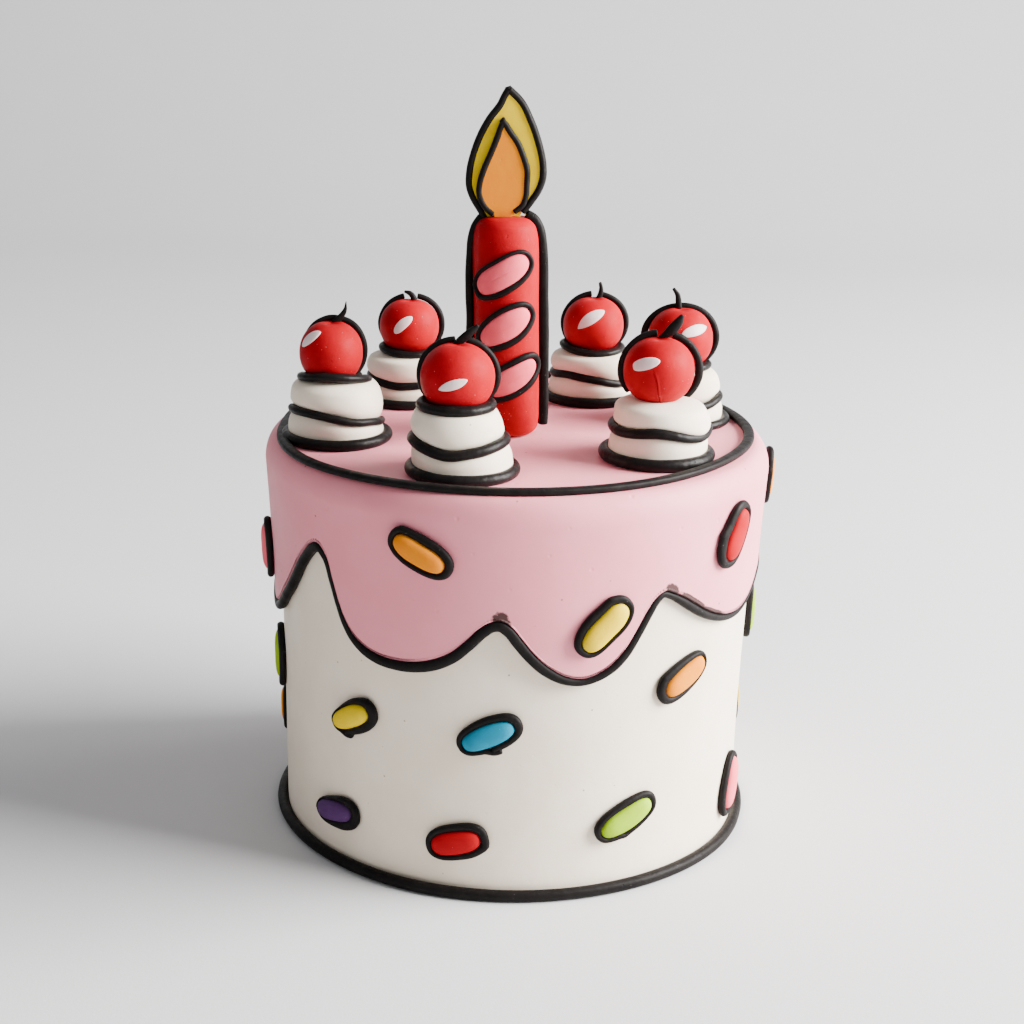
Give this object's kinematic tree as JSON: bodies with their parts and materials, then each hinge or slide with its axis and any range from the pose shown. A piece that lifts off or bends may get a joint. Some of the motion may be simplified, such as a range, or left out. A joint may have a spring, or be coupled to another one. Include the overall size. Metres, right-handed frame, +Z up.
{
  "type": "birthday cake",
  "caption": "Tall round birthday cake in white and pink sugar paste drawn with black outlines, with drips, sprinkles, cream puffs with cherries and a candle with a paste flame",
  "frame": {"origin": "the middle of the cake's round underside, which rests on the surface below", "axes": "+Z up; the front, where the candle's ovals and the six puffs are seen as in the picture, faces -Y; +X to the right seen from the front"},
  "size_m": [0.2005, 0.1972, 0.2849],
  "materials": {
    "white_paste": "matt rolled sugar paste, off-white",
    "pink_paste": "matt rolled sugar paste, dusty pink",
    "black_paste": "satin hand-rolled sugar paste, black",
    "red_paste": "satin sugar paste, red",
    "rose_paste": "matt sugar paste, rose pink",
    "orange_paste": "matt sugar paste, orange",
    "yellow_paste": "matt sugar paste, yellow",
    "scarlet_paste": "matt sugar paste, scarlet",
    "lime_paste": "matt sugar paste, lime green",
    "blue_paste": "matt sugar paste, blue",
    "purple_paste": "matt sugar paste, purple"
  },
  "bodies": {
    "root": {"cake_body": "white_paste", "pink_icing": "pink_paste", "drip_outline": "black_paste", "top_outline": "black_paste", "base_outline": "black_paste", "sprinkle_01": "orange_paste", "sprinkle_02": "scarlet_paste", "sprinkle_03": "yellow_paste", "sprinkle_04": "rose_paste", "sprinkle_05": "orange_paste", "sprinkle_06": "yellow_paste", "sprinkle_07": "blue_paste", "sprinkle_08": "orange_paste", "sprinkle_09": "purple_paste", "sprinkle_10": "scarlet_paste", "sprinkle_11": "lime_paste", "sprinkle_12": "rose_paste", "sprinkle_13": "lime_paste", "sprinkle_14": "orange_paste", "sprinkle_15": "lime_paste", "sprinkle_16": "yellow_paste", "sprinkle_17": "yellow_paste", "sprinkle_18": "rose_paste", "sprinkle_19": "scarlet_paste", "sprinkle_20": "lime_paste", "sprinkle_21": "blue_paste", "sprinkle_22": "scarlet_paste", "sprinkle_23": "orange_paste", "sprinkle_24": "yellow_paste", "sprinkle_25": "purple_paste", "sprinkle_26": "rose_paste", "sprinkle_27": "blue_paste", "puff_1": "white_paste", "puff_2": "white_paste", "puff_3": "white_paste", "puff_4": "white_paste", "puff_5": "white_paste", "puff_6": "white_paste", "cherry_1": "red_paste", "cherry_2": "red_paste", "cherry_3": "red_paste", "cherry_4": "red_paste", "cherry_5": "red_paste", "cherry_6": "red_paste", "cherry_outline_1": "black_paste", "cherry_outline_2": "black_paste", "cherry_outline_3": "black_paste", "cherry_outline_4": "black_paste", "cherry_outline_5": "black_paste", "cherry_outline_6": "black_paste", "candle_stick": "red_paste", "candle_outline_left": "black_paste", "candle_outline_right": "black_paste", "candle_oval_1": "rose_paste", "candle_oval_2": "rose_paste", "candle_oval_3": "rose_paste", "flame_outer": "yellow_paste", "flame_outer_outline": "black_paste", "flame_inner": "orange_paste", "flame_inner_outline": "black_paste"}
  },
  "joints": []
}
